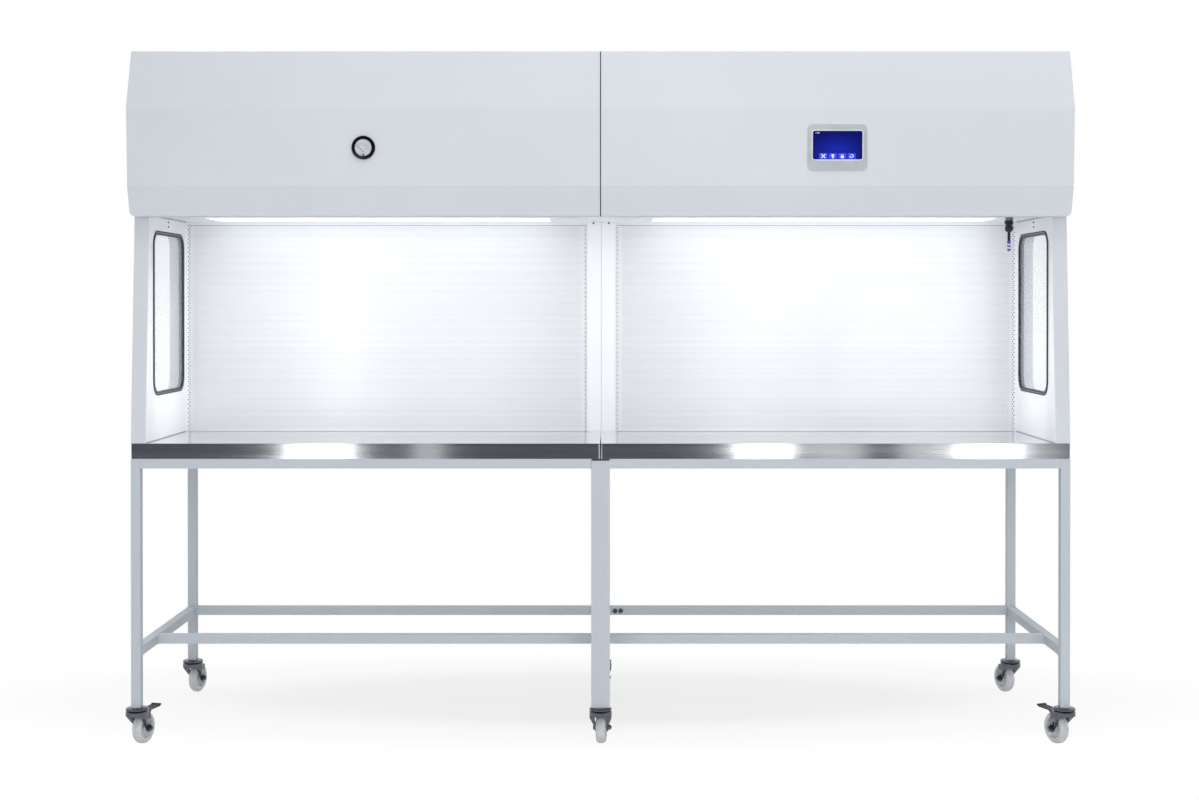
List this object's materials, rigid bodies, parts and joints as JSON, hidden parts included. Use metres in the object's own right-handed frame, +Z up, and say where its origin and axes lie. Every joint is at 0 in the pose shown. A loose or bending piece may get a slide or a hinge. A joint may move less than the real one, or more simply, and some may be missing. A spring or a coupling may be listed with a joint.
{
  "type": "laminar flow hood",
  "caption": "Double-width laminar flow hood with folded fascias, side windows and a perforated rear diffuser, on an open tube stand with swivel casters.",
  "frame": {"origin": "bottom centre of the whole object's bounding box", "axes": "+X to the viewer's right along the hood's width, +Y to its back, +Z up"},
  "size_m": [3.042, 0.8746, 2.223],
  "materials": {
    "caster_stems": "zinc plated",
    "fork_front_left": "zinc plated",
    "fork_front_centre": "zinc plated",
    "fork_front_right": "zinc plated",
    "fork_rear_left": "zinc plated",
    "fork_rear_centre": "zinc plated",
    "fork_rear_right": "zinc plated",
    "axle_front_left": "zinc plated",
    "axle_front_centre": "zinc plated",
    "axle_front_right": "zinc plated",
    "axle_rear_left": "zinc plated",
    "axle_rear_centre": "zinc plated",
    "axle_rear_right": "zinc plated",
    "wheel_front_left": "smooth light grey",
    "wheel_front_centre": "smooth light grey",
    "wheel_front_right": "smooth light grey",
    "wheel_rear_left": "smooth light grey",
    "wheel_rear_centre": "smooth light grey",
    "wheel_rear_right": "smooth light grey",
    "pedal_front_left": "dark",
    "pedal_front_right": "dark",
    "left_stand_frame": "light grey powder coat",
    "right_stand_frame": "light grey powder coat",
    "frame_bolts": "dark plated",
    "left_worktop": "brushed stainless",
    "right_worktop": "brushed stainless",
    "worktop_joint_strip": "black",
    "left_side_wall": "pale powder coat",
    "right_side_wall": "pale powder coat",
    "window_seals": "dark grey",
    "window_panes": "clear",
    "left_fascia": "pale powder coat",
    "right_fascia": "pale powder coat",
    "left_ceiling": "pale powder coat",
    "right_ceiling": "pale powder coat",
    "light_panels": "opal",
    "left_diffuser": "pale powder coat",
    "right_diffuser": "pale powder coat",
    "centre_post": "pale powder coat",
    "left_filter": "pleated filter media",
    "right_filter": "pleated filter media",
    "left_rear_casing": "pale powder coat",
    "right_rear_casing": "pale powder coat",
    "roof_panels": "pale powder coat",
    "prefilters": "pleated mat",
    "fan_decks": "plain sheet",
    "fan_motors": "dark",
    "left_impeller": "plain",
    "right_impeller": "plain",
    "gauge_body": "black",
    "gauge_dial": "satin",
    "gauge_pointer": "red tip",
    "gauge_lens": "clear",
    "touch_bezel": "light grey",
    "touch_screen": "blue display",
    "sensor_gland": "plain",
    "sensor_probe": "blue",
    "control_box": "grey",
    "power_inlet": "black"
  },
  "bodies": {
    "hood": {"caster_stems": "caster_stems", "left_stand_frame": "left_stand_frame", "right_stand_frame": "right_stand_frame", "frame_bolts": "frame_bolts", "left_worktop": "left_worktop", "right_worktop": "right_worktop", "worktop_joint_strip": "worktop_joint_strip", "left_side_wall": "left_side_wall", "right_side_wall": "right_side_wall", "window_seals": "window_seals", "window_panes": "window_panes", "left_fascia": "left_fascia", "right_fascia": "right_fascia", "left_ceiling": "left_ceiling", "right_ceiling": "right_ceiling", "light_panels": "light_panels", "left_diffuser": "left_diffuser", "right_diffuser": "right_diffuser", "centre_post": "centre_post", "left_filter": "left_filter", "right_filter": "right_filter", "left_rear_casing": "left_rear_casing", "right_rear_casing": "right_rear_casing", "roof_panels": "roof_panels", "prefilters": "prefilters", "fan_decks": "fan_decks", "fan_motors": "fan_motors", "gauge_body": "gauge_body", "gauge_dial": "gauge_dial", "gauge_lens": "gauge_lens", "touch_bezel": "touch_bezel", "touch_screen": "touch_screen", "sensor_gland": "sensor_gland", "sensor_probe": "sensor_probe", "control_box": "control_box", "power_inlet": "power_inlet"},
    "swivel_front_left": {"fork_front_left": "fork_front_left", "axle_front_left": "axle_front_left"},
    "roller_front_left": {"wheel_front_left": "wheel_front_left"},
    "brake_front_left": {"pedal_front_left": "pedal_front_left"},
    "swivel_front_centre": {"fork_front_centre": "fork_front_centre", "axle_front_centre": "axle_front_centre"},
    "roller_front_centre": {"wheel_front_centre": "wheel_front_centre"},
    "swivel_front_right": {"fork_front_right": "fork_front_right", "axle_front_right": "axle_front_right"},
    "roller_front_right": {"wheel_front_right": "wheel_front_right"},
    "brake_front_right": {"pedal_front_right": "pedal_front_right"},
    "swivel_rear_left": {"fork_rear_left": "fork_rear_left", "axle_rear_left": "axle_rear_left"},
    "roller_rear_left": {"wheel_rear_left": "wheel_rear_left"},
    "swivel_rear_centre": {"fork_rear_centre": "fork_rear_centre", "axle_rear_centre": "axle_rear_centre"},
    "roller_rear_centre": {"wheel_rear_centre": "wheel_rear_centre"},
    "swivel_rear_right": {"fork_rear_right": "fork_rear_right", "axle_rear_right": "axle_rear_right"},
    "roller_rear_right": {"wheel_rear_right": "wheel_rear_right"},
    "left_fan_wheel": {"left_impeller": "left_impeller"},
    "right_fan_wheel": {"right_impeller": "right_impeller"},
    "pointer": {"gauge_pointer": "gauge_pointer"}
  },
  "joints": [
    {"name": "swivel_front_left", "type": "hinge", "parent": "hood", "child": "swivel_front_left", "pos_m": [-1.485, -0.37066, 0.11], "axis": [0, 0, 1], "continuous": true},
    {"name": "roll_front_left", "type": "hinge", "parent": "swivel_front_left", "child": "roller_front_left", "pos_m": [-1.47453, -0.33414, 0.05], "axis": [0.9613, -0.2756, 0], "continuous": true},
    {"name": "press_brake_front_left", "type": "hinge", "parent": "swivel_front_left", "child": "brake_front_left", "pos_m": [-1.47287, -0.32837, 0.106], "axis": [-0.9613, 0.2756, 0], "range_deg": [0, 15]},
    {"name": "swivel_front_centre", "type": "hinge", "parent": "hood", "child": "swivel_front_centre", "pos_m": [0, -0.37066, 0.11], "axis": [0, 0, 1], "continuous": true},
    {"name": "roll_front_centre", "type": "hinge", "parent": "swivel_front_centre", "child": "roller_front_centre", "pos_m": [0.00265, -0.33276, 0.05], "axis": [0.9976, -0.0698, 0], "continuous": true},
    {"name": "swivel_front_right", "type": "hinge", "parent": "hood", "child": "swivel_front_right", "pos_m": [1.485, -0.37066, 0.11], "axis": [0, 0, 1], "continuous": true},
    {"name": "roll_front_right", "type": "hinge", "parent": "swivel_front_right", "child": "roller_front_right", "pos_m": [1.47015, -0.33568, 0.05], "axis": [0.9205, 0.3907, 0], "continuous": true},
    {"name": "press_brake_front_right", "type": "hinge", "parent": "swivel_front_right", "child": "brake_front_right", "pos_m": [1.46781, -0.33016, 0.106], "axis": [-0.9205, -0.3907, 0], "range_deg": [0, 15]},
    {"name": "swivel_rear_left", "type": "hinge", "parent": "hood", "child": "swivel_rear_left", "pos_m": [-1.485, 0.34934, 0.11], "axis": [0, 0, 1], "continuous": true},
    {"name": "roll_rear_left", "type": "hinge", "parent": "swivel_rear_left", "child": "roller_rear_left", "pos_m": [-1.47677, 0.38644, 0.05], "axis": [0.9763, -0.2164, 0], "continuous": true},
    {"name": "swivel_rear_centre", "type": "hinge", "parent": "hood", "child": "swivel_rear_centre", "pos_m": [0, 0.34934, 0.11], "axis": [0, 0, 1], "continuous": true},
    {"name": "roll_rear_centre", "type": "hinge", "parent": "swivel_rear_centre", "child": "roller_rear_centre", "pos_m": [0, 0.38734, 0.05], "axis": [1, 0, 0], "continuous": true},
    {"name": "swivel_rear_right", "type": "hinge", "parent": "hood", "child": "swivel_rear_right", "pos_m": [1.485, 0.34934, 0.11], "axis": [0, 0, 1], "continuous": true},
    {"name": "roll_rear_right", "type": "hinge", "parent": "swivel_rear_right", "child": "roller_rear_right", "pos_m": [1.472, 0.38505, 0.05], "axis": [0.9397, 0.342, 0], "continuous": true},
    {"name": "left_fan_turn", "type": "hinge", "parent": "hood", "child": "left_fan_wheel", "pos_m": [-0.75, -0.08566, 1.93], "axis": [0, 0, 1], "continuous": true},
    {"name": "right_fan_turn", "type": "hinge", "parent": "hood", "child": "right_fan_wheel", "pos_m": [0.75, -0.08566, 1.93], "axis": [0, 0, 1], "continuous": true},
    {"name": "gauge_pointer_turn", "type": "hinge", "parent": "hood", "child": "pointer", "pos_m": [-0.7545, -0.43224, 1.90121], "axis": [0, -0.999, -0.0447], "range_deg": [-88, 0]}
  ]
}
